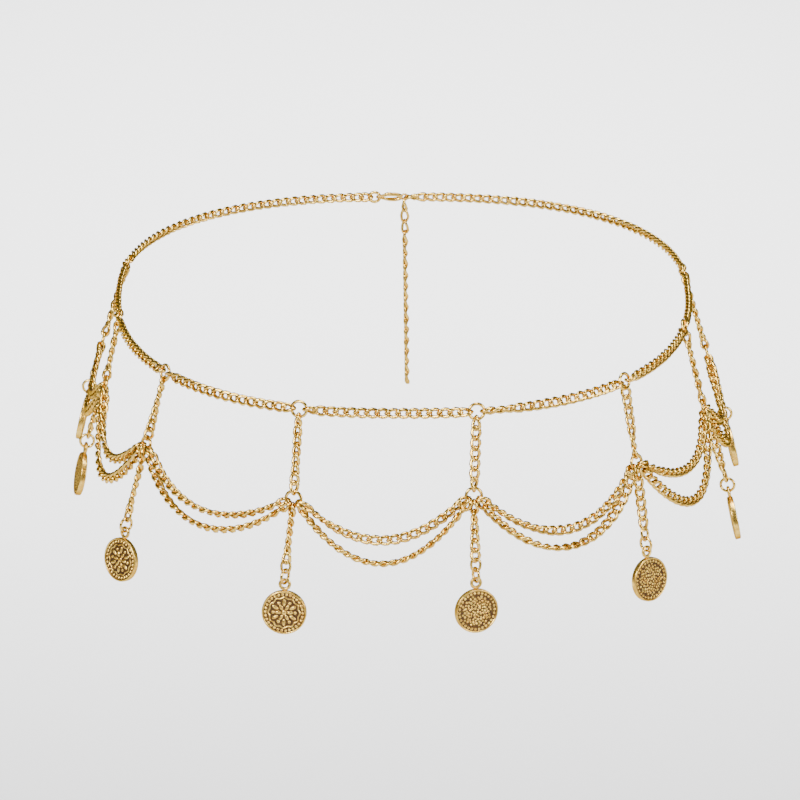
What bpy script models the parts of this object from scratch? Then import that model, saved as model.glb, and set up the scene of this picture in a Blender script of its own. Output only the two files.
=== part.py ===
"""Coin tassel waist chain: a belt of curb chain with eight hanging strands, swags and coins.

World axes: +X to the wearer's left, -Y to the front, +Z up. The origin is the middle of the belt
loop, where the wearer's hips hold it. Sizes are in millimetres and become metres in the meshes.
Every chain lies on one hip surface: a level oval at the belt that flares outwards as it drops.
A place on it is an arc, measured along the belt from the back centre round the -X side, and a drop,
measured straight down from the belt.
"""
import math

import bmesh
import bpy
import numpy as np

MM = 0.001
SEAM = 0.3
ROOT_STEP = 0.6

# Belt oval and hip flare
HALF_WIDTH = 145.0
FRONT_DEPTH = 185.0
BACK_DEPTH = 150.0
OVAL_POWER = 2.4
BACK_FALL = 0.05
FRONT_LEAN = 10.0
SIDE_LEAN = 16.0
OVAL_SAMPLES = 2881
FRAME_STEP = 2.0

# Curb chain
LINK_PITCH = 4.93
LINK_WIDE = 5.3
LINK_WAIST = 3.7
LINK_THICK = 2.2
WIRE = 1.2

# Rings
RING_SIDES = 12
RING_OUTER = 9.2
JUMP_OUTER = 7.9
JUMP_WIRE = 1.0
END_RING_OUTER = 6.8
END_RING_ARC = 15.2

# Belt lay-out along the arc
LEFT_RUN = 198.5
RING_SPACING = 86.5
STRANDS = 8

# Swags between neighbouring lower rings
UPPER_START_TURN = 22.0
UPPER_START_RADIUS = 5.5
LOWER_START_TURN = 50.0
LOWER_START_RADIUS = 5.1
SWAG_END_THICK = 2.0
ROLL_LENGTH = 26.0

# Clasp and extension tail
CLASP_EYE_ARC = -0.8
CLASP_EYE_OUTER = 4.4
CLASP_THICK = 2.4
TAIL_LINKS = 17
TAIL_WIDE = 3.0
TAIL_WAIST = 2.2
TAIL_THICK = 4.6
TAIL_END_ARC = -2.2
TAIL_END_DROP = 116.0

# Coin with its cast-on loop
COIN_RADIUS = 11.0
COIN_SIDES = 20
RIM_WIDTH = 0.9
RIM_BEVEL = 0.6
RIM_HALF = 1.4
FIELD_HALF = 1.1
LOOP_OUTER = 6.1
LOOP_HOLE = 3.2
LOOP_HALF = 0.8
LOOP_NECK = 0.35

# Open last link of each drop chain
LAST_LINK_LENGTH = 7.3
LAST_LINK_WIDTH = 5.3
LAST_LINK_HALF_AXIAL = 0.5

# Play of the jump ring on the last link and of the coin's loop on the jump ring, between corners
RING_PLAY = 0.6

# Share of the hip's slope that the jump rings and coins keep as they hang
COIN_SLOPE_SHARE = 0.75

# Strands from the back of the -X side round the front to the back of the +X side
# columns: lower ring's shift along the arc, its drop, jump ring's shift, its drop,
# turn in degrees about the vertical of the jump ring, and of the coin
STRAND_TABLE = (
    (19.0, 36.5, 17.5, 63.5, 0.0, 0.0),
    (12.0, 31.0, 7.5, 63.5, 0.0, 0.0),
    (-3.0, 37.0, -5.0, 79.0, 9.0, 13.0),
    (-0.5, 44.0, -2.5, 82.5, -14.0, 11.0),
    (-2.5, 41.0, -2.5, 80.0, 16.0, 12.0),
    (-2.0, 40.0, -5.2, 80.0, 0.0, -4.0),
    (-5.0, 40.5, -1.5, 83.5, 0.0, 14.0),
    (-8.0, 42.0, -8.0, 76.5, 0.0, 2.0),
)
JUMP_TURN_COLUMN = 4
COIN_TURN_COLUMN = 5

# Swags of each span, columns: length of the upper chain, length of the lower chain
SWAG_TABLE = (
    (80.0, 92.0),
    (79.0, 95.0),
    (93.0, 103.0),
    (88.0, 103.0),
    (96.0, 108.0),
    (86.0, 107.0),
    (88.0, 105.0),
)

# Clasp body from its eye to its nose, columns: share of the length, height
CLASP_TABLE = (
    (0.00, 2.2),
    (0.15, 3.4),
    (0.40, 4.6),
    (0.65, 5.0),
    (0.85, 4.2),
    (1.00, 2.4),
)

GOLD = (0.80, 0.58, 0.27, 1.0)
OLD_GOLD = (0.66, 0.45, 0.20, 1.0)


def unit(vector):
    """The vector, or each row of an array, at length one."""
    return vector / np.linalg.norm(vector, axis=-1, keepdims=True)


def oval_points():
    """Belt centreline: a superellipse, deeper to the front, that falls a little to the back."""
    turn = np.linspace(0.0, 2.0 * math.pi, OVAL_SAMPLES)
    across = np.sin(turn)
    back = np.cos(turn)
    depth = np.where(back < 0.0, FRONT_DEPTH, BACK_DEPTH)
    power = 2.0 / OVAL_POWER
    x = -HALF_WIDTH * np.sign(across) * np.abs(across) ** power
    y = depth * np.sign(back) * np.abs(back) ** power
    return np.stack([x, y, -BACK_FALL * y], axis=1)


OVAL = oval_points()
OVAL_ARC = np.concatenate([[0.0], np.cumsum(np.linalg.norm(np.diff(OVAL, axis=0), axis=1))])
BELT_LENGTH = OVAL_ARC[-1]


def belt_at(arc):
    """Belt centreline at each arc."""
    turn = np.mod(np.asarray(arc, dtype=float), BELT_LENGTH)
    return np.stack([np.interp(turn, OVAL_ARC, OVAL[:, axis]) for axis in range(3)], axis=-1)


def outward_at(arc):
    """Level direction away from the belt loop at each arc."""
    along = belt_at(np.asarray(arc) + FRAME_STEP) - belt_at(np.asarray(arc) - FRAME_STEP)
    out = np.stack([along[..., 1], -along[..., 0], np.zeros_like(along[..., 0])], axis=-1)
    inside_out = np.sum(out * belt_at(arc), axis=-1, keepdims=True) < 0.0
    return unit(np.where(inside_out, -out, out))


def skin(arc, drop):
    """Point on the hip surface: straight below the belt, moved out by the lean of that side."""
    out = outward_at(arc)
    lean = np.radians(FRONT_LEAN + (SIDE_LEAN - FRONT_LEAN) * out[..., 0:1] ** 2)
    fall = np.asarray(drop, dtype=float)[..., None]
    return belt_at(arc) + out * fall * np.tan(lean) - np.array([0.0, 0.0, 1.0]) * fall


def skin_frame(arc, drop):
    """Unit vectors on the hip surface: along the belt, down the slope, and out from it."""
    ahead = skin(np.asarray(arc) + FRAME_STEP, drop)
    behind = skin(np.asarray(arc) - FRAME_STEP, drop)
    along = unit(ahead - behind)
    down = skin(arc, np.asarray(drop) + FRAME_STEP) - skin(arc, np.asarray(drop) - FRAME_STEP)
    down = unit(down - np.sum(down * along, axis=-1, keepdims=True) * along)
    out = np.cross(down, along)
    inside_out = np.sum(out * outward_at(arc), axis=-1, keepdims=True) < 0.0
    return along, down, np.where(inside_out, -out, out)


class Draft:
    """Points and faces of one solid, gathered before its mesh is made."""

    def __init__(self):
        self.points = []
        self.faces = []

    def add_points(self, points):
        """Adds points and returns their numbers."""
        first = len(self.points)
        self.points.extend(np.asarray(points, dtype=float).reshape(-1, 3))
        return list(range(first, len(self.points)))

    def bridge(self, loop, other):
        """Joins two loops of four points, matched so that their sides are shortest."""
        spots = np.array([self.points[number] for number in loop])
        best = None
        for order in (other, other[::-1]):
            for turn in range(4):
                match = order[turn:] + order[:turn]
                reach = np.linalg.norm(spots - np.array([self.points[n] for n in match]), axis=1).sum()
                if best is None or reach < best[0]:
                    best = (reach, match)
        match = best[1]
        for side in range(4):
            after = (side + 1) % 4
            self.faces.append((loop[side], loop[after], match[after], match[side]))


def add_band(draft, sections, start=None, end=None):
    """A four-sided band through its sections, capped or joined to an open loop at each end."""
    loops = [draft.add_points(section) for section in sections]
    for loop, after in zip(loops[:-1], loops[1:]):
        for side in range(4):
            turn = (side + 1) % 4
            draft.faces.append((loop[side], loop[turn], after[turn], after[side]))
    for loop, target in ((loops[0], start), (loops[-1], end)):
        if target is None:
            draft.faces.append(tuple(loop))
        else:
            draft.bridge(loop, target)


def add_ring(draft, centre, axes, radii, half_radial, half_axial, sides, open_facets=()):
    """A closed ring of square wire on an ellipse; facet k is centred k steps round from the first axis.

    Returns the open loop of each facet that is left out, for a band to join.
    """
    first, second = axes
    axial = unit(np.cross(first, second))
    turn = (np.arange(sides) + 0.5) * 2.0 * math.pi / sides
    cosine = np.cos(turn)[:, None]
    sine = np.sin(turn)[:, None]
    middle = centre + radii[0] * cosine * first + radii[1] * sine * second
    radial = unit(cosine / radii[0] * first + sine / radii[1] * second)
    corners = ((1, 1), (1, -1), (-1, -1), (-1, 1))
    sections = [middle + r * half_radial * radial + a * half_axial * axial for r, a in corners]
    numbers = np.array(draft.add_points(np.stack(sections, axis=1))).reshape(sides, 4)
    gaps = {}
    for facet in range(sides):
        before = numbers[facet - 1]
        after = numbers[facet]
        for side in range(4):
            turn_side = (side + 1) % 4
            quad = (before[side], before[turn_side], after[turn_side], after[side])
            if side == 0 and facet in open_facets:
                gaps[facet] = [int(number) for number in quad]
            else:
                draft.faces.append(tuple(int(number) for number in quad))
    return gaps


def resample(points, count):
    """Points at equal steps along a line."""
    reach = np.concatenate([[0.0], np.cumsum(np.linalg.norm(np.diff(points, axis=0), axis=1))])
    steps = np.linspace(0.0, reach[-1], count)
    return np.stack([np.interp(steps, reach, points[:, axis]) for axis in range(3)], axis=-1), steps


def line_length(points):
    """Length of a line through its points."""
    return float(np.linalg.norm(np.diff(points, axis=0), axis=1).sum())


def chain_sections(route, links, scalloped, roll_at_ends=False, wide=LINK_WIDE, waist=LINK_WAIST,
                   thick=LINK_THICK):
    """Cross-sections of a chain band along a route of arcs and drops.

    In a scalloped band each link is a swell between two waists. At the ends of a swag the band stands
    on edge, and it turns flat within the roll length.
    """
    arcs, drops = route
    points = skin(arcs, drops)
    count = links * (2 if scalloped else 1) + 1
    centres, steps = resample(points, count)
    reach = line_length(points)
    place = np.interp(steps, np.linspace(0.0, reach, len(arcs)), np.arange(len(arcs)))
    numbers = np.arange(len(arcs))
    outs = skin_frame(np.interp(place, numbers, arcs), np.interp(place, numbers, drops))[2]
    tangents = unit(np.gradient(centres, axis=0))
    sides = unit(np.cross(outs, tangents))
    normals = np.cross(tangents, sides)
    widths = np.full(count, 0.5 * (wide + waist))
    if scalloped:
        widths = np.where(np.arange(count) % 2 == 0, waist, wide)
    thicks = np.full(count, thick)
    roll = np.zeros(count)
    if roll_at_ends:
        share = np.clip(np.minimum(steps, reach - steps) / ROLL_LENGTH, 0.0, 1.0)
        ease = share * share * (3.0 - 2.0 * share)
        roll = 0.5 * math.pi * (1.0 - ease)
        thicks = SWAG_END_THICK + (thick - SWAG_END_THICK) * ease
        widths = waist + (widths - waist) * ease
    cosine = np.cos(roll)[:, None]
    sine = np.sin(roll)[:, None]
    across = 0.5 * widths[:, None] * (sides * cosine + normals * sine)
    through = 0.5 * thicks[:, None] * (normals * cosine - sides * sine)
    return np.stack([centres + across + through, centres - across + through,
                     centres - across - through, centres + across - through], axis=1)


def straight_route(start, end, count=41):
    """Arcs and drops on a straight line of the hip surface."""
    return np.linspace(start[0], end[0], count), np.linspace(start[1], end[1], count)


def link_count(route):
    """Whole links that fit a route at the chain's pitch."""
    return max(2, round(line_length(skin(*route)) / LINK_PITCH))


def plated_metal(name, colour, roughness):
    """Polished plated metal."""
    material = bpy.data.materials.new(name)
    material.use_nodes = True
    shader = material.node_tree.nodes["Principled BSDF"]
    shader.inputs["Base Color"].default_value = colour
    shader.inputs["Metallic"].default_value = 1.0
    shader.inputs["Roughness"].default_value = roughness
    return material


def make_object(name, draft, origin, colour=GOLD, roughness=0.25):
    """Makes the object of one sub-part, with its origin at the given place."""
    mesh = bpy.data.meshes.new(name)
    points = (np.array(draft.points) - origin) * MM
    mesh.from_pydata(points.tolist(), [], draft.faces)
    bm = bmesh.new()
    bm.from_mesh(mesh)
    bmesh.ops.recalc_face_normals(bm, faces=bm.faces)
    bm.to_mesh(mesh)
    bm.free()
    mesh.shade_smooth()
    mesh.set_sharp_from_angle(angle=math.radians(40.0))
    mesh.materials.append(plated_metal(name + "_metal", colour, roughness))
    thing = bpy.data.objects.new(name, mesh)
    thing.location = (np.asarray(origin) * MM).tolist()
    bpy.context.scene.collection.objects.link(thing)


def facet_reach(outer, sides=RING_SIDES):
    """Distance from a ring's centre to the middle of one of its outer facets."""
    return 0.5 * outer * math.cos(math.pi / sides)


RING_REACH = facet_reach(RING_OUTER)
RING_ARCS = tuple(LEFT_RUN + RING_SPACING * number for number in range(STRANDS))
FACET_SIDE = 0
FACET_UP = 3
FACET_DOWN = 9


def lower_ring_place(number):
    """Arc and drop of a strand's lower ring."""
    shift, drop = STRAND_TABLE[number][:2]
    return np.array([RING_ARCS[number] + shift, drop])


def jump_ring_place(number):
    """Arc and drop of a strand's jump ring."""
    shift, drop = STRAND_TABLE[number][2:4]
    return np.array([RING_ARCS[number] + shift, drop])


def hanging_axes(start, end):
    """Unit vectors where a chain arrives at its end: along the belt, up the chain, and out."""
    step = unit(end - start)
    above = skin(*(end - step))
    below = skin(*(end + step))
    up = unit(above - below)
    out = skin_frame(*end)[2]
    out = unit(out - np.dot(out, up) * up)
    along = np.cross(out, up)
    if np.dot(along, skin_frame(*end)[0]) < 0.0:
        along = -along
    return along, up, out


def make_belt():
    """Front belt segments from ring to ring, and the two back runs to the end ring and the clasp."""
    end_gap = RING_REACH + SEAM
    for number in range(STRANDS - 1):
        arcs = np.linspace(RING_ARCS[number] + end_gap, RING_ARCS[number + 1] - end_gap, 61)
        route = (arcs, np.zeros_like(arcs))
        draft = Draft()
        add_band(draft, chain_sections(route, link_count(route), scalloped=True))
        make_object(f"belt_{number + 1}", draft, belt_at(arcs[30]))
    start = END_RING_ARC + facet_reach(END_RING_OUTER) + SEAM
    left = np.linspace(start, RING_ARCS[0] - end_gap, 121)
    finish = BELT_LENGTH + CLASP_EYE_ARC - 0.5 * CLASP_EYE_OUTER - SEAM
    right = np.linspace(RING_ARCS[-1] + end_gap, finish, 121)
    for name, arcs in (("belt_back_left", left), ("belt_back_right", right)):
        route = (arcs, np.zeros_like(arcs))
        draft = Draft()
        add_band(draft, chain_sections(route, link_count(route), scalloped=False))
        make_object(name, draft, belt_at(arcs[60]))


def make_hanger(number):
    """A belt ring with the chain that hangs from it to the lower ring."""
    top = np.array([RING_ARCS[number], 0.0])
    end = lower_ring_place(number)
    step = unit(end - top)
    centre = skin(*top)
    along, down, _ = skin_frame(*top)
    draft = Draft()
    radius = 0.5 * (RING_OUTER - WIRE)
    gaps = add_ring(draft, centre, (along, -down), (radius, radius), 0.5 * WIRE, 0.5 * WIRE, RING_SIDES,
                    open_facets=(FACET_DOWN,))
    route = straight_route(top + step * (RING_REACH + ROOT_STEP), end - step * (RING_REACH + SEAM))
    sections = chain_sections(route, link_count(route), scalloped=True)
    add_band(draft, sections, start=gaps[FACET_DOWN])
    make_object(f"hanger_{number + 1}", draft, centre)


def make_drop(number):
    """A lower ring with its drop chain, which ends in an open link that the jump ring hangs on."""
    top = np.array([RING_ARCS[number], 0.0])
    ring = lower_ring_place(number)
    jump = jump_ring_place(number)
    centre = skin(*ring)
    along, up, _ = hanging_axes(top, ring)
    draft = Draft()
    radius = 0.5 * (RING_OUTER - WIRE)
    gaps = add_ring(draft, centre, (along, up), (radius, radius), 0.5 * WIRE, 0.5 * WIRE, RING_SIDES,
                    open_facets=(FACET_DOWN,))
    link_axes, link_centre = last_link_place(number)
    radii = (0.5 * (LAST_LINK_WIDTH - WIRE), 0.5 * (LAST_LINK_LENGTH - WIRE))
    link_gaps = add_ring(draft, link_centre, link_axes, radii, 0.5 * WIRE, LAST_LINK_HALF_AXIAL,
                         RING_SIDES, open_facets=(FACET_UP,))
    step = unit(jump - ring)
    link_reach = np.linalg.norm(link_centre - skin(*jump)) + 0.5 * LAST_LINK_LENGTH + ROOT_STEP
    route = straight_route(ring + step * (RING_REACH + ROOT_STEP), jump - step * link_reach)
    sections = chain_sections(route, link_count(route), scalloped=True)
    add_band(draft, sections, start=gaps[FACET_DOWN], end=link_gaps[FACET_UP])
    make_object(f"drop_{number + 1}", draft, centre)


def last_link_place(number):
    """Axes and centre of the open link: its lower wire lies inside the jump ring, under its top."""
    along, up, _ = hanging_axes(lower_ring_place(number), jump_ring_place(number))
    plumb = plumb_axes(number, JUMP_TURN_COLUMN)[1]
    seat = skin(*jump_ring_place(number)) + plumb * (0.5 * (JUMP_OUTER - 2.0 * JUMP_WIRE) - RING_PLAY)
    return (along, up), seat + up * 0.5 * (LAST_LINK_LENGTH - 2.0 * WIRE)


def plumb_axes(number, turn_column):
    """Unit vectors at a strand's jump ring, turned as a column of its row says: across, up, and out."""
    along, down, out = skin_frame(*jump_ring_place(number))
    plumb = np.array([0.0, 0.0, 1.0 - COIN_SLOPE_SHARE])
    up = unit(plumb - COIN_SLOPE_SHARE * down)
    turn = math.radians(STRAND_TABLE[number][turn_column])
    out = out * math.cos(turn) + along * math.sin(turn)
    out = unit(out - np.dot(out, up) * up)
    across = np.cross(up, out)
    return across, up, out


def jump_pivot(number):
    """Where the jump ring swings: the middle of the open link's lower wire, and that wire's direction."""
    (along, up), centre = last_link_place(number)
    drop = 0.5 * (LAST_LINK_LENGTH - WIRE) * math.cos(math.pi / RING_SIDES)
    return centre - up * drop, along


def coin_pivot(number):
    """Where the coin swings: the middle of the jump ring's lowest wire, and that wire's direction."""
    _, up, out = plumb_axes(number, JUMP_TURN_COLUMN)
    drop = 0.5 * (JUMP_OUTER - JUMP_WIRE) * math.cos(math.pi / RING_SIDES)
    return skin(*jump_ring_place(number)) - up * drop, out


def make_jump_ring(number):
    """A jump ring that stands across the chain, so that the coin hangs flat on the hip."""
    _, up, out = plumb_axes(number, JUMP_TURN_COLUMN)
    draft = Draft()
    radius = 0.5 * (JUMP_OUTER - JUMP_WIRE)
    add_ring(draft, skin(*jump_ring_place(number)), (out, up), (radius, radius), 0.5 * JUMP_WIRE,
             0.5 * JUMP_WIRE, RING_SIDES)
    make_object(f"jump_ring_{number + 1}", draft, jump_pivot(number)[0])


def make_coin(number):
    """A struck disc with a raised rim on both faces, and a loop at its top round the jump ring."""
    along, up, out = plumb_axes(number, COIN_TURN_COLUMN)
    hole_middle = 0.5 * (JUMP_OUTER - 2.0 * JUMP_WIRE) + 0.5 * LOOP_HOLE - RING_PLAY
    loop_centre = skin(*jump_ring_place(number)) - up * hole_middle
    loop_half = 0.25 * (LOOP_OUTER - LOOP_HOLE)
    radius = 0.5 * LOOP_OUTER - loop_half
    draft = Draft()
    gaps = add_ring(draft, loop_centre, (along, up), (radius, radius), loop_half, LOOP_HALF, RING_SIDES,
                    open_facets=(FACET_DOWN,))
    fall = facet_reach(LOOP_OUTER) + LOOP_NECK + facet_reach(2.0 * COIN_RADIUS, COIN_SIDES)
    centre = loop_centre - up * fall
    field = COIN_RADIUS - RIM_WIDTH - RIM_BEVEL
    profile = ((field, FIELD_HALF), (COIN_RADIUS - RIM_WIDTH, RIM_HALF), (COIN_RADIUS, RIM_HALF),
               (COIN_RADIUS, -RIM_HALF), (COIN_RADIUS - RIM_WIDTH, -RIM_HALF), (field, -FIELD_HALF))
    turn = (np.arange(COIN_SIDES) + 0.5) * 2.0 * math.pi / COIN_SIDES
    spoke = np.cos(turn)[:, None] * along + np.sin(turn)[:, None] * up
    rows = [draft.add_points(centre + spoke * reach + out * height) for reach, height in profile]
    face_middles = draft.add_points([centre + out * FIELD_HALF, centre - out * FIELD_HALF])
    top_facet = COIN_SIDES // 4
    for facet in range(COIN_SIDES):
        before = facet - 1
        draft.faces.append((face_middles[0], rows[0][before], rows[0][facet]))
        draft.faces.append((face_middles[1], rows[-1][facet], rows[-1][before]))
        for row in range(len(rows) - 1):
            quad = (rows[row][before], rows[row + 1][before], rows[row + 1][facet], rows[row][facet])
            if row == 2 and facet == top_facet:
                draft.bridge(list(quad), gaps[FACET_DOWN])
            else:
                draft.faces.append(quad)
    make_object(f"coin_{number + 1}", draft, coin_pivot(number)[0], colour=OLD_GOLD, roughness=0.35)


def swag_route(start, end, length):
    """A hanging curve on the hip surface, dipping as far as its chain's length lets it."""
    share = np.linspace(0.0, 1.0, 81)
    shallow = 0.0
    deep = length
    arcs = start[0] + (end[0] - start[0]) * share
    for _ in range(30):
        dip = 0.5 * (shallow + deep)
        drops = start[1] + (end[1] - start[1]) * share + 4.0 * dip * share * (1.0 - share)
        if line_length(skin(arcs, drops)) < length:
            shallow = dip
        else:
            deep = dip
    return arcs, drops


def make_swags():
    """Two swags in each span, both hung on the lower rings at its ends."""
    kinds = (
        ("swag_upper", UPPER_START_TURN, UPPER_START_RADIUS),
        ("swag_lower", LOWER_START_TURN, LOWER_START_RADIUS),
    )
    for column, (name, turn, radius) in enumerate(kinds):
        aside = radius * math.cos(math.radians(turn))
        below = radius * math.sin(math.radians(turn))
        for number in range(STRANDS - 1):
            start = lower_ring_place(number) + np.array([aside, below])
            end = lower_ring_place(number + 1) + np.array([-aside, below])
            route = swag_route(start, end, SWAG_TABLE[number][column])
            draft = Draft()
            sections = chain_sections(route, link_count(route), scalloped=False, roll_at_ends=True)
            add_band(draft, sections)
            make_object(f"{name}_{number + 1}", draft, skin(route[0][40], route[1][40]))


def make_fastening():
    """The end ring, the clasp with its eye, and the extension tail that hangs from the eye."""
    along, down, _ = skin_frame(END_RING_ARC, 0.0)
    centre = skin(END_RING_ARC, 0.0)
    draft = Draft()
    radius = 0.5 * (END_RING_OUTER - JUMP_WIRE)
    add_ring(draft, centre, (along, -down), (radius, radius), 0.5 * JUMP_WIRE, 0.5 * JUMP_WIRE, RING_SIDES)
    make_object("end_ring", draft, centre)

    along, down, out = skin_frame(CLASP_EYE_ARC, 0.0)
    centre = skin(CLASP_EYE_ARC, 0.0)
    draft = Draft()
    radius = 0.5 * (CLASP_EYE_OUTER - JUMP_WIRE)
    gaps = add_ring(draft, centre, (along, -down), (radius, radius), 0.5 * JUMP_WIRE, 0.5 * JUMP_WIRE,
                    RING_SIDES, open_facets=(FACET_SIDE,))
    start = CLASP_EYE_ARC + facet_reach(CLASP_EYE_OUTER) + 0.5 * SEAM
    end = END_RING_ARC - facet_reach(END_RING_OUTER) - SEAM
    sections = []
    for share, height in CLASP_TABLE:
        middle = skin(start + (end - start) * share, 0.0)
        rise = 0.5 * height * down
        depth = 0.5 * CLASP_THICK * out
        sections.append(np.stack([middle + rise + depth, middle - rise + depth,
                                  middle - rise - depth, middle + rise - depth]))
    add_band(draft, sections, start=gaps[FACET_SIDE])
    make_object("clasp", draft, centre)

    top = facet_reach(CLASP_EYE_OUTER) + SEAM
    route = straight_route((CLASP_EYE_ARC, top), (TAIL_END_ARC, TAIL_END_DROP))
    draft = Draft()
    add_band(draft, chain_sections(route, TAIL_LINKS, scalloped=True, wide=TAIL_WIDE, waist=TAIL_WAIST,
                                   thick=TAIL_THICK))
    make_object("tail", draft, skin(CLASP_EYE_ARC, top))


def main():
    """Clears the scene and builds every piece."""
    for thing in list(bpy.data.objects):
        bpy.data.objects.remove(thing, do_unlink=True)
    make_belt()
    for number in range(STRANDS):
        make_hanger(number)
        make_drop(number)
        make_jump_ring(number)
        make_coin(number)
    make_swags()
    make_fastening()


main()
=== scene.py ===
"""Coin tassel waist chain: real curb links, rings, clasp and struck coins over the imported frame.

World axes: +X to the wearer's left, -Y to the front, +Z up. Forms are worked out in millimetres, and
become metres when their meshes are made. A place on the hip is an arc along the belt, from the back
centre round the -X side, and a drop straight down from it.
"""

import math

import bpy
import numpy as np
from bpy.props import FloatProperty, FloatVectorProperty, IntProperty, PointerProperty
from bpy.types import Operator, Panel, PropertyGroup
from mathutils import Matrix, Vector


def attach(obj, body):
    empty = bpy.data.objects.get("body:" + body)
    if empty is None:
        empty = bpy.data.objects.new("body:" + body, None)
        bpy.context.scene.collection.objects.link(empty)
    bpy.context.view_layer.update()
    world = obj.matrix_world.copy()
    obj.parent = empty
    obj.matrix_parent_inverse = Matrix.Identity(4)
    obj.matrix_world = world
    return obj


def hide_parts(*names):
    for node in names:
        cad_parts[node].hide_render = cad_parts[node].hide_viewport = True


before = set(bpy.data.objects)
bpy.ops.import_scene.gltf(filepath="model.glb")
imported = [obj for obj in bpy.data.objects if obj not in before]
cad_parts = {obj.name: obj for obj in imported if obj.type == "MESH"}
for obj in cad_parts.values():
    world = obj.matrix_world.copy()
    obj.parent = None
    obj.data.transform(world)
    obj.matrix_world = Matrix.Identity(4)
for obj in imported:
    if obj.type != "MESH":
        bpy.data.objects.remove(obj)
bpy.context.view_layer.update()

bl_info = {
    "name": "Coin tassel waist chain",
    "version": (1, 0, 0),
    "blender": (4, 5, 0),
    "location": "View3D > Sidebar > Waist Chain",
    "description": "Builds a gold-tone waist chain with swags and coin tassels",
    "category": "Object",
}

MM = 0.001
ROOT = "waist_chain"

# Belt oval and hip flare, as in the solids
HALF_WIDTH = 145.0
FRONT_DEPTH = 185.0
BACK_DEPTH = 150.0
OVAL_POWER = 2.4
BACK_FALL = 0.05
FRONT_LEAN = 10.0
SIDE_LEAN = 16.0
OVAL_SAMPLES = 2881
FRAME_STEP = 2.0

# Lay-out of the strands, as in the solids
STRANDS = 8
LEFT_RUN = 198.5
RING_SPACING = 86.5
END_RING_ARC = 15.2
END_RING_OUTER = 6.8
CLASP_EYE_ARC = -0.8
CLASP_EYE_OUTER = 4.4
TAIL_END_ARC = -2.2
TAIL_END_DROP = 116.0
TAIL_LINKS = 17
JUMP_OUTER = 7.9
JUMP_WIRE = 1.0
RING_PLAY = 0.6
COIN_SLOPE_SHARE = 0.75
SOLID_LINK_WIRE = 1.2
LAST_LINK_LENGTH = 7.3
LOOP_OUTER = 6.1
LOOP_HOLE = 3.2
LOOP_NECK = 0.35
SOLID_RING_SIDES = 12
SOLID_COIN_SIDES = 20

# Columns: lower ring's shift along the arc, its drop, jump ring's shift, its drop,
# turn in degrees about the vertical of the jump ring, and of the coin
STRAND_TABLE = (
    (19.0, 36.5, 17.5, 63.5, 0.0, 0.0),
    (12.0, 31.0, 7.5, 63.5, 0.0, 0.0),
    (-3.0, 37.0, -5.0, 79.0, 9.0, 13.0),
    (-0.5, 44.0, -2.5, 82.5, -14.0, 11.0),
    (-2.5, 41.0, -2.5, 80.0, 16.0, 12.0),
    (-2.0, 40.0, -5.2, 80.0, 0.0, -4.0),
    (-5.0, 40.5, -1.5, 83.5, 0.0, 14.0),
    (-8.0, 42.0, -8.0, 76.5, 0.0, 2.0),
)
JUMP_TURN_COLUMN = 4
COIN_TURN_COLUMN = 5

# Columns: length of the upper swag, length of the lower swag
SWAG_TABLE = (
    (80.0, 92.0),
    (79.0, 95.0),
    (93.0, 103.0),
    (88.0, 103.0),
    (96.0, 108.0),
    (86.0, 107.0),
    (88.0, 105.0),
)

# Columns: name, turn in degrees below the belt's direction, reach from the ring's centre
SWAG_KINDS = (
    ("swag_upper", 22.0, 5.5),
    ("swag_lower", 50.0, 5.1),
)

# How far each chain is turned about its own line, in degrees, as the photograph shows it.
# Columns of all four: after the start, at a quarter, half and three quarters, before the end
UNTURNED = (0.0, 0.0, 0.0, 0.0, 0.0)
BELT_TURNS = (
    UNTURNED,
    UNTURNED,
    UNTURNED,
    UNTURNED,
    (55.0, 18.0, -14.0, -20.0, -14.0),
    UNTURNED,
    UNTURNED,
    UNTURNED,
    UNTURNED,
)
HANGER_TURNS = (
    (10.0, 0.0, -15.0, 0.0, 10.0),
    (0.0, 10.0, 20.0, 10.0, 0.0),
    (50.0, 40.0, 10.0, -15.0, -22.0),
    (22.0, 34.0, 38.0, 28.0, 15.0),
    (0.0, 3.0, 5.0, 3.0, 0.0),
    (25.0, 18.0, 12.0, 0.0, -35.0),
    (0.0, -10.0, -15.0, 0.0, 10.0),
    (0.0, 10.0, 0.0, -10.0, 0.0),
)
DROP_TURNS = (
    (0.0, 10.0, 0.0, -10.0, 0.0),
    (0.0, -10.0, 0.0, 10.0, 0.0),
    (45.0, 50.0, 42.0, 20.0, 0.0),
    (70.0, 74.0, 62.0, 45.0, 25.0),
    (85.0, 70.0, 48.0, 25.0, 8.0),
    (25.0, 28.0, 26.0, 24.0, 20.0),
    (0.0, 25.0, 40.0, 30.0, 10.0),
    (0.0, 10.0, 20.0, 10.0, 0.0),
)
TAIL_TURNS = (8.0, 88.0, 90.0, 96.0, 90.0)
TAIL_START_TURN = 75.0
TAIL_END_TURN = 90.0
SWAG_UPPER_TURNS = (
    (10.0, 0.0, 25.0, 10.0, 0.0),
    (90.0, 40.0, 10.0, 45.0, 90.0),
    (90.0, 84.0, 74.0, 66.0, 84.0),
    (90.0, 40.0, 4.0, 18.0, 40.0),
    (90.0, 62.0, 6.0, 4.0, 20.0),
    (90.0, 40.0, 10.0, -20.0, -60.0),
    (90.0, 50.0, 20.0, -30.0, -90.0),
)
SWAG_LOWER_TURNS = (
    (10.0, 0.0, 20.0, 10.0, 0.0),
    (90.0, 30.0, 0.0, 40.0, 90.0),
    (90.0, 72.0, 60.0, 72.0, 90.0),
    (90.0, 82.0, 76.0, 84.0, 66.0),
    (52.0, 66.0, 90.0, 128.0, 152.0),
    (60.0, 25.0, 5.0, -15.0, -60.0),
    (90.0, 40.0, 10.0, -40.0, -90.0),
)

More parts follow.
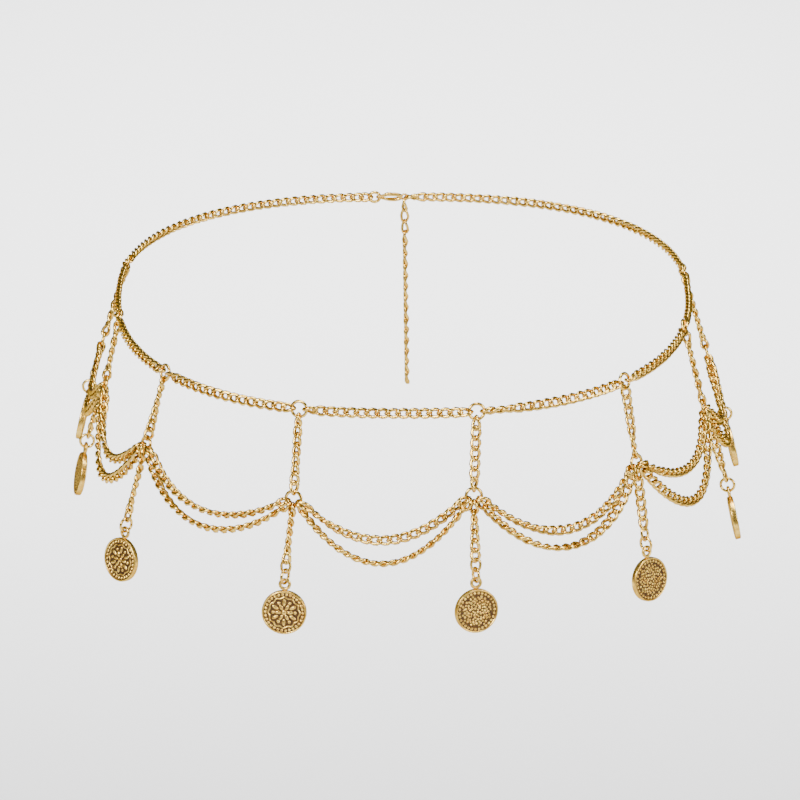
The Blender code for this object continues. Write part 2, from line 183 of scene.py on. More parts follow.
# Form of the links and rings
LINK_STEPS = 12
LINK_SIDES = 5
LINK_FULLNESS = 0.90
LINK_TWIST = 48.0
LINK_WOBBLE = 5.0
END_REACH = 3.3
TURN_FADE = 9.0
LEAST_STATION_GAP = 1e-6
RING_STEPS = 44
RING_SIDES = 12
OPEN_LINK_WIDTH = 5.8
OPEN_LINK_WIRE = 1.25
JUMP_RING_OUTER = 8.3
JUMP_RING_WIRE = 1.4
JUMP_RING_CUT = math.radians(5.0)
END_RING_WIRE = 1.6
LOOP_RING_OUTER = 6.25
LOOP_WIRE = 1.6
# Strength of the painted shade on the inner side of a ring's wire
RING_PAINTED_SHADE = 0.6
TAIL_WIDTH_SHARE = 0.92
TAIL_HOOK_PLAY = 0.5
EYE_HOOK = 0.5

# Points along the lines that the chains follow, and seeds of their wobbles
BELT_STEPS = 241
CHAIN_STEPS = 61
SWAG_STEPS = 81
DIP_HALVINGS = 30
HANGER_SEED = 20
DROP_SEED = 40
SWAG_SEED = 60
SWAG_SEED_STEP = 10
TAIL_SEED = 90

# Coin's edge from the field outwards on its upper half, columns: inset from the radius, height share
COIN_EDGE = (
    (1.05, 0.64),
    (0.92, 0.80),
    (0.80, 0.95),
    (0.64, 1.00),
    (0.38, 1.00),
    (0.18, 0.94),
    (0.04, 0.80),
    (0.00, 0.62),
    (0.00, 0.20),
)
COIN_ROWS = 46
COIN_SECTORS = 216
FIELD_START = 0.22
FIELD_MARGIN = 0.2
BEAD_INSET = 1.85
BEAD_RADIUS = 0.68
BEAD_HEIGHT = 0.50
GRAIN_FIELD = 7.7
GRAIN_NUDGE = 0.24
LARGE_GRAIN = (0.64, 0.50)
SMALL_GRAIN = (0.50, 0.40)
BRIGHT_RELIEF = 0.32
RIM_DARK_HEIGHT = 0.97
RIM_DARK_SLOPE = 4.0
RIM_DARK_INSET = 0.5

# Neck between a coin and its loop
NECK_STEPS = 9
NECK_LENGTH = 2.0
NECK_SUNK = 0.9
NECK_WAIST = 1.05
NECK_FLARE = 0.75
NECK_DEPTH = 0.75

# Rows of the rosette's petals, columns: count, middle radius, half length, half width, shift in steps
ROSETTE_PETALS = (
    (6, 2.9, 1.5, 0.82, 0.0),
    (6, 5.0, 1.8, 0.80, 0.5),
)
ROSETTE_STRANDS = (2, 3)
ROSETTE_HEIGHT = 0.50
BOSS_RADIUS = 1.2
BAND_RADIUS = 7.55
BAND_SWAY = 0.30
BAND_WAVES = 12.0
BAND_HALF_WIDTH = 0.34
BAND_HEIGHT = 0.40
TIP_GRAINS = 6
TIP_GRAIN_PLACE = 5.4
TIP_GRAIN = (0.78, 0.48)

# Plating: tint at grazing angles, and scales of its noises for patches, wear, polish and grain
EDGE_TINT = (0.50, 0.30, 0.12)
PATCH_SCALE = 260.0
WEAR_SCALE = 700.0
POLISH_SCALE = 1300.0
GRAIN_SCALE = 2600.0
# Roughness added where painted shade and the coins' antiqued finish darken
DARKENING_ROUGHNESS = 0.30
GRAIN_STRENGTH = 0.12
GRAIN_DEPTH = 0.05 * MM
# Colour of the painted shade on the inner sides of the chains', rings' and clasp's wires
CHAIN_PAINTED_SHADE = (0.20, 0.10, 0.035)

# Lobster clasp
CLAW_STEPS = 56
CLAW_SIDES = 12
CLAW_HALF_HEIGHT = 1.5
CLAW_SKEW = 0.28
CLAW_TWIST = 40.0
CLAW_THIN = 0.74
CLAW_SWELL = 0.30
CLAW_DEEPER = 0.1
CLAW_OVERLAP = 0.3
NOSE_PAST_RING = 0.9
LEVER_STEPS = 9
LEVER_START = -2.0
LEVER_LENGTH = 4.4
LEVER_RISE = 1.9
LEVER_ARCH = 0.35
LEVER_THIN = 0.30
LEVER_SWELL = 0.28
LEVER_DEEPER = 0.25

# Stage, columns of the lamps: name, place, share of the key power, width, height
LAMP_TARGET = (0.0, 0.0, -0.05)
LAMPS = (
    ("key_lamp", (-1.2, -1.7, 1.4), 1.6, 0.8, 0.8),
    ("fill_lamp", (1.9, -1.3, 0.7), 0.8, 0.5, 1.0),
    ("top_lamp", (0.2, 0.1, 1.8), 0.9, 1.4, 0.6),
)
# Columns: across, away from the camera, share of the floor power
FLOOR_LAMPS = (
    (0.0, 3.6, 1.0),
    (0.0, -3.9, 0.8),
    (3.9, 0.0, 0.8),
    (-3.9, 0.0, 0.8),
)
FLOOR_LAMP_HEIGHT = -0.3
FLOOR_LAMP_WIDTH = 2.4
FLOOR_LAMP_DEPTH = 2.6
SUN_ANGLE = math.radians(60.0)
FLOOR_REACH = 40.0
SKY_COLOUR = (0.92, 0.94, 1.0)
SKY_STRENGTH = 0.16
CLIP_END = 100.0

# Camera fitted to the photograph
PHOTO_SIZE = 800.0
PHOTO_FOCAL = 6225.14
SENSOR = 36.0
AIM = Vector((-0.001639, 0.0, -0.06172))


class ChainSettings(PropertyGroup):
    """Sizes and colours of the chains and rings."""

    wire: FloatProperty(name="Wire", description="Thickness of the links' wire", default=1.6 * MM,
                        min=0.6 * MM, max=2.0 * MM, unit="LENGTH", precision=5)
    ring_wire: FloatProperty(name="Ring wire", description="Thickness of the belt and lower rings' wire",
                             default=1.55 * MM, min=0.6 * MM, max=2.0 * MM, unit="LENGTH", precision=5)
    link_width: FloatProperty(name="Link width", description="Width of a curb link over all",
                              default=5.5 * MM, min=3.0 * MM, max=8.0 * MM, unit="LENGTH", precision=5)
    link_pitch: FloatProperty(name="Link pitch", description="Length that each link adds to a chain",
                              default=4.93 * MM, min=3.0 * MM, max=8.0 * MM, unit="LENGTH", precision=5)
    ring_outer: FloatProperty(name="Ring", description="Outer diameter of the belt and lower rings",
                              default=9.2 * MM, min=7.0 * MM, max=12.0 * MM, unit="LENGTH", precision=5)
    tail_wire: FloatProperty(name="Extension wire", description="Thickness of the extension's wire",
                             default=1.35 * MM, min=0.6 * MM, max=2.0 * MM, unit="LENGTH", precision=5)
    gold: FloatVectorProperty(name="Gold", description="Colour of the bright plating",
                              default=(0.90, 0.60, 0.13), min=0.0, max=1.0, size=3, subtype="COLOR")
    deep_gold: FloatVectorProperty(name="Deep gold", description="Colour of the worn, warmer patches",
                                   default=(0.70, 0.40, 0.07), min=0.0, max=1.0, size=3, subtype="COLOR")


class CoinSettings(PropertyGroup):
    """Sizes and colours of the coins."""

    radius: FloatProperty(name="Radius", description="Radius of a coin", default=11.0 * MM,
                          min=8.0 * MM, max=12.0 * MM, unit="LENGTH", precision=5)
    half_thickness: FloatProperty(name="Half thickness", description="Half of the rim's thickness",
                                  default=1.4 * MM, min=0.5 * MM, max=2.0 * MM, unit="LENGTH", precision=5)
    border_beads: IntProperty(name="Border beads", description="Beads in the ring inside the rim",
                              default=30, min=12, max=48)
    grains: IntProperty(name="Grains", description="Raised grains on a grained coin's field",
                        default=92, min=20, max=160)
    # Colour of the coins' antiqued recesses, also used as painted shade on the inner side of their loops
    patina_and_shade_colour: FloatVectorProperty(name="Patina", description="Colour of the dark recesses",
                                default=(0.10, 0.055, 0.028), min=0.0, max=1.0, size=3, subtype="COLOR")


class StageSettings(PropertyGroup):
    """Floor, light and camera."""

    floor_colour: FloatVectorProperty(name="Floor", description="Colour of the floor",
                                      default=(0.93, 0.93, 0.93), min=0.0, max=1.0, size=3,
                                      subtype="COLOR")
    floor_height: FloatProperty(name="Floor height", description="Height of the floor",
                                default=-1.3, unit="LENGTH")
    key_power: FloatProperty(name="Key light", description="Power of the main lamp in watts",
                             default=54.0, min=0.0)
    floor_power: FloatProperty(name="Floor light", description="Power of the floor's lamp in watts",
                               default=112.0, min=0.0)
    sun_strength: FloatProperty(name="Floor sun", description="Strength of the even light on the floor",
                                default=0.8, min=0.0)
    elevation: FloatProperty(name="Camera elevation", description="Angle of the camera above level",
                             default=math.radians(22.862), unit="ROTATION")
    distance: FloatProperty(name="Camera distance", description="Distance from the aimed point",
                            default=3.2, min=0.5, unit="LENGTH")


def unit(vector):
    """The vector, or each row of an array, at length one."""
    return vector / np.linalg.norm(vector, axis=-1, keepdims=True)


def ease(share):
    """Smooth step: three times the square less twice the cube, held between 0 and 1."""
    held = np.clip(share, 0.0, 1.0)
    return held * held * (3.0 - 2.0 * held)


def oval_points():
    """Belt line: a superellipse, deeper to the front, that falls a little to the back."""
    turn = np.linspace(0.0, 2.0 * math.pi, OVAL_SAMPLES)
    across = np.sin(turn)
    back = np.cos(turn)
    depth = np.where(back < 0.0, FRONT_DEPTH, BACK_DEPTH)
    power = 2.0 / OVAL_POWER
    x = -HALF_WIDTH * np.sign(across) * np.abs(across) ** power
    y = depth * np.sign(back) * np.abs(back) ** power
    return np.stack([x, y, -BACK_FALL * y], axis=1)


def reach_along(points):
    """Distance from the first point of a line to each of its points."""
    return np.concatenate([[0.0], np.cumsum(np.linalg.norm(np.diff(points, axis=0), axis=1))])


OVAL = oval_points()
OVAL_ARC = reach_along(OVAL)
BELT_LENGTH = OVAL_ARC[-1]
RING_ARCS = tuple(LEFT_RUN + RING_SPACING * number for number in range(STRANDS))


def belt_at(arc):
    """Point of the belt line at each arc."""
    turn = np.mod(np.asarray(arc, dtype=float), BELT_LENGTH)
    return np.stack([np.interp(turn, OVAL_ARC, OVAL[:, axis]) for axis in range(3)], axis=-1)


def outward_at(arc):
    """Level direction away from the belt loop at each arc."""
    along = belt_at(np.asarray(arc) + FRAME_STEP) - belt_at(np.asarray(arc) - FRAME_STEP)
    out = np.stack([along[..., 1], -along[..., 0], np.zeros_like(along[..., 0])], axis=-1)
    inside_out = np.sum(out * belt_at(arc), axis=-1, keepdims=True) < 0.0
    return unit(np.where(inside_out, -out, out))


def skin(arc, drop):
    """Point on the hip: straight below the belt, moved out by the tangent of that side's lean."""
    out = outward_at(arc)
    lean = np.radians(FRONT_LEAN + (SIDE_LEAN - FRONT_LEAN) * out[..., 0:1] ** 2)
    fall = np.asarray(drop, dtype=float)[..., None]
    return belt_at(arc) + out * fall * np.tan(lean) - np.array([0.0, 0.0, 1.0]) * fall


def skin_frame(arc, drop):
    """Directions on the hip: along the belt, down the slope, and out, from differences of its points."""
    along = unit(skin(np.asarray(arc) + FRAME_STEP, drop) - skin(np.asarray(arc) - FRAME_STEP, drop))
    down = skin(arc, np.asarray(drop) + FRAME_STEP) - skin(arc, np.asarray(drop) - FRAME_STEP)
    down = unit(down - np.sum(down * along, axis=-1, keepdims=True) * along)
    out = np.cross(down, along)
    inside_out = np.sum(out * outward_at(arc), axis=-1, keepdims=True) < 0.0
    return along, down, np.where(inside_out, -out, out)


def lower_ring_place(number):
    """Arc and drop of a strand's lower ring."""
    shift, drop = STRAND_TABLE[number][:2]
    return np.array([RING_ARCS[number] + shift, drop])


def jump_ring_place(number):
    """Arc and drop of a strand's jump ring."""
    shift, drop = STRAND_TABLE[number][2:4]
    return np.array([RING_ARCS[number] + shift, drop])


def hanging_axes(start, end):
    """Directions where a chain arrives at its end: along the belt, up the chain, and out."""
    step = unit(end - start)
    up = unit(skin(*(end - step)) - skin(*(end + step)))
    along, _, out = skin_frame(*end)
    out = unit(out - np.dot(out, up) * up)
    across = np.cross(out, up)
    return across * np.sign(np.dot(across, along)), up, out


def plumb_axes(number, turn_column):
    """Directions at a jump ring, turned as a column of its row says: across, up, and out."""
    along, down, out = skin_frame(*jump_ring_place(number))
    up = unit(np.array([0.0, 0.0, 1.0 - COIN_SLOPE_SHARE]) - COIN_SLOPE_SHARE * down)
    turn = math.radians(STRAND_TABLE[number][turn_column])
    out = out * math.cos(turn) + along * math.sin(turn)
    out = unit(out - np.dot(out, up) * up)
    return np.cross(up, out), up, out


def jump_pivot(number):
    """Middle of the last link's lower wire, which the jump ring hangs on."""
    plumb = plumb_axes(number, JUMP_TURN_COLUMN)[1]
    link_up = hanging_axes(lower_ring_place(number), jump_ring_place(number))[1]
    wire = SOLID_LINK_WIRE
    seat = skin(*jump_ring_place(number)) + plumb * (0.5 * JUMP_OUTER - JUMP_WIRE - RING_PLAY)
    centre = seat + link_up * (0.5 * LAST_LINK_LENGTH - wire)
    return centre - link_up * 0.5 * (LAST_LINK_LENGTH - wire) * math.cos(math.pi / SOLID_RING_SIDES)


def hip_line(arcs, drops):
    """Points of a route on the hip, and the outward direction at each."""
    return skin(arcs, drops), skin_frame(arcs, drops)[2]


def swag_route(start, end, length):
    """A parabola on the hip whose dip is halved in on until the line has the chain's length."""
    share = np.linspace(0.0, 1.0, SWAG_STEPS)
    arcs = start[0] + (end[0] - start[0]) * share
    shallow = 0.0
    deep = length
    for _ in range(DIP_HALVINGS):
        dip = 0.5 * (shallow + deep)
        drops = start[1] + (end[1] - start[1]) * share + 4.0 * dip * share * (1.0 - share)
        if reach_along(skin(arcs, drops))[-1] < length:
            shallow = dip
        else:
            deep = dip
    return arcs, drops


class Draft:
    """Points, faces and darkening values of one piece, gathered before its mesh is made: painted shade on
    the inner sides of wires, the antiqued finish in the coins' recesses.
    """

    def __init__(self):
        self.points = []
        self.shade_and_patina_mask = []
        self.faces = []
        self.count = 0

    def add(self, points, faces, shade_and_patina_mask):
        """Adds closed shells, turned so that their faces point outwards.

        The sign comes from the sum over all faces of the corner product, six times the volume.
        """
        corners = points[faces[:, :3]]
        volume = np.sum(corners[:, 0] * np.cross(corners[:, 1], corners[:, 2]))
        if faces.shape[1] == 4:
            corners = points[faces[:, [0, 2, 3]]]
            volume += np.sum(corners[:, 0] * np.cross(corners[:, 1], corners[:, 2]))
        flip = volume < 0.0
        turned_out = faces[:, ::-1] if flip else faces
        self.faces.extend((turned_out + self.count).tolist())
        self.points.append(points)
        self.shade_and_patina_mask.append(shade_and_patina_mask)
        self.count += len(points)
        return flip

    def add_tubes(self, grids, shade_and_patina_mask, closed=True):
        """Adds tubes given as grids: shells by rows along the path by columns round it."""
        shells, rows, columns = grids.shape[:3]
        row = np.arange(rows if closed else rows - 1)
        column = np.arange(columns)
        here = row[:, None] * columns + column
        right = row[:, None] * columns + (column + 1) % columns
        after = ((row + 1) % rows)[:, None] * columns
        quads = np.stack([here, right, after + (column + 1) % columns, after + column], axis=-1)
        quads = quads.reshape(-1, 4)
        first = np.arange(shells)[:, None, None] * rows * columns
        start = self.count
        flat = grids.reshape(-1, 3)
        centre = flat.mean(axis=0)
        flip = self.add(flat - centre, (first + quads).reshape(-1, 4), np.ravel(shade_and_patina_mask))
        self.points[-1] = flat
        if not closed:
            for shell in range(shells):
                base = start + shell * rows * columns
                near = (base + column).tolist()
                far = (base + (rows - 1) * columns + column).tolist()
                self.faces.append(near if flip else near[::-1])
                self.faces.append(far[::-1] if flip else far)


def make_piece(name, draft, material, body, nodes):
    """Makes the mesh object of a piece that stands for its CAD nodes and rides on its body."""
    mesh = bpy.data.meshes.new(name)
    mesh.from_pydata((np.concatenate(draft.points) * MM).tolist(), [], draft.faces)
    mesh.shade_smooth()
    # Attribute of painted shade on the inner sides of wires, and of the antiqued finish in the coins'
    # recesses
    shade_and_patina_mask = mesh.attributes.new("shade_and_patina_mask", "FLOAT", "POINT")
    shade_and_patina_mask.data.foreach_set("value", np.concatenate(draft.shade_and_patina_mask).astype(np.float32))
    mesh.materials.append(material)
    piece = bpy.data.objects.new(name, mesh)
    bpy.context.scene.collection.objects.link(piece)
    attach(piece, body)
    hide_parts(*nodes)


def sweep(path, flat, radii, sides, closed=True):
    """Carries an ellipse along a path: its first radius lies in the plane across the flat direction.

    Each section is the path point plus radius times cosine aside plus radius times sine along flat.
    """
    if closed:
        tangent = unit(np.roll(path, -1, axis=0) - np.roll(path, 1, axis=0))
    else:
        tangent = unit(np.gradient(path, axis=0))
    aside = unit(np.cross(tangent, flat))
    lift = np.cross(aside, tangent)
    around = 2.0 * math.pi * np.arange(sides) / sides
    radii = np.broadcast_to(radii, (len(path), 2))
    grid = (path[:, None] + radii[:, 0, None, None] * np.cos(around)[:, None] * aside[:, None]
            + radii[:, 1, None, None] * np.sin(around)[:, None] * lift[:, None])
    # inner_shade: 0 on the outer side of the wire, 1 on the side facing the middle of the loop; it marks
    # where painted shade goes
    inner_shade = np.broadcast_to(0.5 - 0.5 * np.cos(around), grid.shape[:2])
    return grid, inner_shade


def curb_link(half_length, half_width, wire, degrees=LINK_TWIST):
    """One curb link in its own axes: an oval wire loop, twisted by some degrees each way to its ends.

    The loop is length times cosine by width times a power of the sine, which keeps its ends full.
    It is turned about its length by the twist times the share of the half length. The few-sided
    section has the area of the round wire.
    """
    turn = 2.0 * math.pi * np.arange(LINK_STEPS) / LINK_STEPS
    u = half_length * np.cos(turn)
    v = half_width * np.sign(np.sin(turn)) * np.abs(np.sin(turn)) ** LINK_FULLNESS
    twist = -math.radians(degrees) * u / half_length
    path = np.stack([u, v * np.cos(twist), v * np.sin(twist)], axis=1)
    flat = np.stack([np.zeros_like(u), -np.sin(twist), np.cos(twist)], axis=1)
    radius = 0.5 * wire * math.sqrt(2.0 * math.pi / (LINK_SIDES * math.sin(2.0 * math.pi / LINK_SIDES)))
    return sweep(path, flat, np.array([radius, radius]), LINK_SIDES)


def lay_links(draft, line, sizes, roll_at, seed, links=None, open_end=False):
    """Lays taut curb links along a line.

    line is points and outward directions; sizes are wire, width over all and pitch. Neighbouring
    links overlap by one wire, and roll_at gives each link's turn about the chain from its middle's
    distance and the chain's length. A small seeded wobble keeps the links between the first and the
    last from being all alike. With an open end the last link is flat and of thinner wire, so that
    a ring swings in it.
    """
    points, outs = line
    wire, width, pitch = sizes
    reach = reach_along(points)
    length = reach[-1]
    count = links or max(2, round((length - wire) / pitch))
    half = (length + (count - 1) * wire) / (2.0 * count)
    start = np.arange(count) * (2.0 * half - wire)

    def at(steps, values):
        return np.stack([np.interp(steps, reach, values[:, axis]) for axis in range(3)], axis=-1)

    tips = at(start, points)
    toes = at(start + 2.0 * half, points)
    tangent = unit(toes - tips)
    side = unit(np.cross(at(start + half, outs), tangent))
    normal = np.cross(tangent, side)
    chance = np.random.default_rng(seed)
    wobble = np.radians(chance.uniform(-LINK_WOBBLE, LINK_WOBBLE, count))
    wobble[[0, -1]] = 0.0
    roll = roll_at(start + half, length) + wobble
    cosine = np.cos(roll)[:, None]
    sine = np.sin(roll)[:, None]
    across = side * cosine + normal * sine
    through = normal * cosine - side * sine
    shape, inner_shade = curb_link(half, 0.5 * (width - wire), wire)
    shapes = np.repeat(shape[None], count, axis=0)
    if open_end:
        open_half_width = 0.5 * (OPEN_LINK_WIDTH - OPEN_LINK_WIRE)
        shapes[-1] = curb_link(half, open_half_width, OPEN_LINK_WIRE, 0.0)[0]
    centres = 0.5 * (tips + toes)
    grids = (centres[:, None, None] + shapes[..., 0:1] * tangent[:, None, None]
             + shapes[..., 1:2] * across[:, None, None]
             + shapes[..., 2:3] * through[:, None, None])
    # Painted shade on the inner side of each link's wire
    draft.add_tubes(grids, np.broadcast_to(inner_shade, grids.shape[:3]))


def turned(start, turns, end):
    """Turn of a chain's links about its line: eased from each of its stations to the next.

    The stations are the first link, the five of a row of turns, and the last link. The turns of the
    first and last link make them thread their rings square.
    """
    angles = np.radians(np.array([start, *turns, end]))

    def roll(distance, length):
        near = np.array([END_REACH, TURN_FADE]) / length
        stations = np.sort(np.concatenate([near, [0.25, 0.5, 0.75], 1.0 - near]))
        gaps = np.maximum(np.diff(stations), LEAST_STATION_GAP)
        total = np.full_like(distance, angles[0])
        for station, gap, change in zip(stations, gaps, np.diff(angles)):
            total += change * ease((distance / length - station) / gap)
        return total
    return roll


def add_ring(draft, centre, first, second, outer, wire, gap=0.0):
    """A ring of round wire: its centre plus radius times cosine and sine; a gap leaves a cut."""
    radius = 0.5 * (outer - wire)
    closed = gap == 0.0
    if closed:
        turn = 2.0 * math.pi * np.arange(RING_STEPS) / RING_STEPS
    else:
        turn = np.linspace(0.5 * gap, 2.0 * math.pi - 0.5 * gap, RING_STEPS)
    path = centre + radius * (np.cos(turn)[:, None] * first + np.sin(turn)[:, None] * second)
    grid, inner_shade = sweep(path, unit(np.cross(first, second)), np.array([0.5 * wire, 0.5 * wire]),
                         RING_SIDES, closed)
    # The ring's inner side is marked for painted shade
    draft.add_tubes(grid[None], inner_shade[None] * RING_PAINTED_SHADE, closed)


def chain_sizes(settings):
    """Wire, width over all and pitch of the main chain, in millimetres."""
    return settings.wire / MM, settings.link_width / MM, settings.link_pitch / MM


def ring_hook(settings):
    """Distance from a ring's centre to the middle of a link's wire that hangs in it."""
    return (0.5 * settings.ring_outer - settings.ring_wire - 0.5 * settings.wire) / MM


def worn_gold(name, light, deep, patina_and_shade_colour, darkening_share, roughness, darkening_start, patches):
    """Plated metal: noise mixes two golds, the shade_and_patina_mask attribute darkens, finer noise
    roughens.

    The darkening is painted shade on the inner sides of the wires and the antiqued finish in the coins'
    recesses. It starts where the attribute passes darkening_start. Noise thins it down to the patches
    share.
    """
    material = bpy.data.materials.get(name)
    if material:
        return material
    material = bpy.data.materials.new(name)
    material.use_nodes = True
    nodes = material.node_tree.nodes
    links = material.node_tree.links
    shader = nodes["Principled BSDF"]
    shader.inputs["Metallic"].default_value = 1.0
    shader.inputs["Specular Tint"].default_value = (*EDGE_TINT, 1.0)
    place = nodes.new("ShaderNodeTexCoord")

    def noise(scale, detail):
        texture = nodes.new("ShaderNodeTexNoise")
        texture.inputs["Scale"].default_value = scale
        texture.inputs["Detail"].default_value = detail
        links.new(place.outputs["Object"], texture.inputs["Vector"])
        return texture.outputs["Fac"]

    def remap(value, low, high, to_low, to_high):
        node = nodes.new("ShaderNodeMapRange")
        node.interpolation_type = "SMOOTHSTEP"
        node.inputs["From Min"].default_value = low
        node.inputs["From Max"].default_value = high
        node.inputs["To Min"].default_value = to_low
        node.inputs["To Max"].default_value = to_high
        links.new(value, node.inputs["Value"])
        return node.outputs["Result"]

    def mix(share, first, second):
        node = nodes.new("ShaderNodeMix")
        node.data_type = "RGBA"
        links.new(share, node.inputs[0])
        for socket, colour in ((node.inputs[6], first), (node.inputs[7], second)):
            if isinstance(colour, bpy.types.NodeSocket):
                links.new(colour, socket)
            else:
                socket.default_value = (*colour, 1.0)
        return node.outputs[2]

    golds = mix(remap(noise(PATCH_SCALE, 3.0), 0.35, 0.70, 0.0, 1.0), light, deep)
    # The attribute darkens towards painted shade on the inner sides of wires and towards the antiqued
    # finish in the coins' recesses
    shade_and_patina_mask = nodes.new("ShaderNodeAttribute")
    shade_and_patina_mask.attribute_name = "shade_and_patina_mask"
    darkness = nodes.new("ShaderNodeMath")
    darkness.operation = "MULTIPLY"
    links.new(remap(shade_and_patina_mask.outputs["Fac"], darkening_start, 0.98, 0.0, darkening_share), darkness.inputs[0])
    links.new(remap(noise(WEAR_SCALE, 2.0), 0.25, 0.65, patches, 1.0), darkness.inputs[1])
    links.new(mix(darkness.outputs["Value"], golds, patina_and_shade_colour), shader.inputs["Base Color"])
    rough = nodes.new("ShaderNodeMath")
    rough.operation = "MULTIPLY_ADD"
    rough.inputs[1].default_value = DARKENING_ROUGHNESS
    links.new(darkness.outputs["Value"], rough.inputs[0])
    links.new(remap(noise(POLISH_SCALE, 4.0), 0.3, 0.7, roughness[0], roughness[1]), rough.inputs[2])
    links.new(rough.outputs["Value"], shader.inputs["Roughness"])
    bump = nodes.new("ShaderNodeBump")
    bump.inputs["Strength"].default_value = GRAIN_STRENGTH
    bump.inputs["Distance"].default_value = GRAIN_DEPTH
    links.new(noise(GRAIN_SCALE, 3.0), bump.inputs["Height"])
    links.new(bump.outputs["Normal"], shader.inputs["Normal"])
    return material


def chain_gold(scene):
    """Bright plating of the chains, rings and clasp, with painted shade on the inner sides of their wires.
    """
    chain = scene.waist_chain
    return worn_gold("polished_chain_gold", tuple(chain.gold), tuple(chain.deep_gold),
                     patina_and_shade_colour=CHAIN_PAINTED_SHADE, darkening_share=0.75, roughness=(0.16, 0.28), darkening_start=0.62,
                     patches=0.65)


def coin_gold(scene):
    """Antiqued plating of the coins, dark in the struck recesses, with painted shade on the inner side of
    their loops.
    """
    chain = scene.waist_chain
    return worn_gold("antiqued_coin_gold", tuple(chain.gold), tuple(chain.deep_gold),
                     patina_and_shade_colour=tuple(scene.waist_coins.patina_and_shade_colour), darkening_share=1.0,
                     roughness=(0.22, 0.36), darkening_start=0.20, patches=0.90)


class WAISTCHAIN_OT_belt(Operator):
    """Lays the curb links of the belt, from ring to ring and round the back"""

    bl_idname = "waist_chain.belt"
    bl_label = "Build belt chain"

    def execute(self, context):
        chain = context.scene.waist_chain
        hook = ring_hook(chain)
        spans = [(f"belt_{number + 1}", RING_ARCS[number] + hook, RING_ARCS[number + 1] - hook)
                 for number in range(STRANDS - 1)]
        end_hook = 0.5 * (END_RING_OUTER - JUMP_WIRE - END_RING_WIRE - chain.wire / MM)
        spans.append(("belt_back_left", END_RING_ARC + end_hook, RING_ARCS[0] - hook))
        spans.append(("belt_back_right", RING_ARCS[-1] + hook, BELT_LENGTH + CLASP_EYE_ARC - EYE_HOOK))
        for seed, (node, start, end) in enumerate(spans):
            arcs = np.linspace(start, end, BELT_STEPS)
            draft = Draft()
            lay_links(draft, hip_line(arcs, np.zeros_like(arcs)), chain_sizes(chain),
                      turned(LINK_TWIST, BELT_TURNS[seed], -LINK_TWIST), seed)
            make_piece(node + "_links", draft, chain_gold(context.scene), ROOT, [node])
        return {"FINISHED"}


class WAISTCHAIN_OT_hangers(Operator):
    """Builds the belt rings and the chains that hang from them"""

    bl_idname = "waist_chain.hangers"
    bl_label = "Build belt rings and hanging chains"

    def execute(self, context):
        chain = context.scene.waist_chain
        hook = ring_hook(chain)
        for number in range(STRANDS):
            top = np.array([RING_ARCS[number], 0.0])
            end = lower_ring_place(number)
            step = unit(end - top)
            along, down, _ = skin_frame(*top)
            draft = Draft()
            add_ring(draft, skin(*top), along, down, chain.ring_outer / MM, chain.ring_wire / MM)
            arcs, drops = np.linspace(top + step * hook, end - step * hook, CHAIN_STEPS).T
            lay_links(draft, hip_line(arcs, drops), chain_sizes(chain),
                      turned(LINK_TWIST, HANGER_TURNS[number], -LINK_TWIST), HANGER_SEED + number)
            make_piece(f"hanger_{number + 1}_links", draft, chain_gold(context.scene), ROOT,
                       [f"hanger_{number + 1}"])
        return {"FINISHED"}


class WAISTCHAIN_OT_drops(Operator):
    """Builds the lower rings and the drop chains down to the jump rings"""

    bl_idname = "waist_chain.drops"
    bl_label = "Build lower rings and drop chains"

    def execute(self, context):
        chain = context.scene.waist_chain
        hook = ring_hook(chain)
        for number in range(STRANDS):
            ring = lower_ring_place(number)
            jump = jump_ring_place(number)
            step = unit(jump - ring)
            along, up, _ = hanging_axes(np.array([RING_ARCS[number], 0.0]), ring)
            draft = Draft()
            add_ring(draft, skin(*ring), along, up, chain.ring_outer / MM, chain.ring_wire / MM)
            top = skin(*(ring + step * hook))
            share = np.linspace(0.0, 1.0, CHAIN_STEPS)[:, None]
            points = top + (jump_pivot(number) - top) * share
            outs = unit(skin_frame(*ring)[2] * (1.0 - share) + skin_frame(*jump)[2] * share)
            lay_links(draft, (points, outs), chain_sizes(chain),
                      turned(LINK_TWIST, DROP_TURNS[number], 0.0), DROP_SEED + number,
                      open_end=True)
            make_piece(f"drop_{number + 1}_links", draft, chain_gold(context.scene), ROOT,
                       [f"drop_{number + 1}"])
        return {"FINISHED"}


class WAISTCHAIN_OT_swags(Operator):
    """Hangs the upper and lower swag chains between the lower rings"""

    bl_idname = "waist_chain.swags"
    bl_label = "Build swags"

    def execute(self, context):
        chain = context.scene.waist_chain
        hook = ring_hook(chain)
        turns = (SWAG_UPPER_TURNS, SWAG_LOWER_TURNS)
        for column, (name, turn, radius) in enumerate(SWAG_KINDS):
            aside = np.array([math.cos(math.radians(turn)), math.sin(math.radians(turn))])
            mirrored = aside * np.array([-1.0, 1.0])
            for number in range(STRANDS - 1):
                left = lower_ring_place(number)
                right = lower_ring_place(number + 1)
                arcs, drops = swag_route(left + aside * radius, right + mirrored * radius,
                                         SWAG_TABLE[number][column])
                first = left + aside * hook
                last = right + mirrored * hook
                arcs = np.concatenate([[first[0]], arcs, [last[0]]])
                drops = np.concatenate([[first[1]], drops, [last[1]]])
                row = turns[column][number]
                # A chain that is turned on towards its end threads the ring about half a turn later
                finish = 3.0 * LINK_TWIST if row[-1] > 0.0 else -LINK_TWIST
                draft = Draft()
                lay_links(draft, hip_line(arcs, drops), chain_sizes(chain),
                          turned(LINK_TWIST, row, finish), SWAG_SEED + SWAG_SEED_STEP * column + number)
                make_piece(f"{name}_{number + 1}_links", draft, chain_gold(context.scene), ROOT,
                           [f"{name}_{number + 1}"])
        return {"FINISHED"}


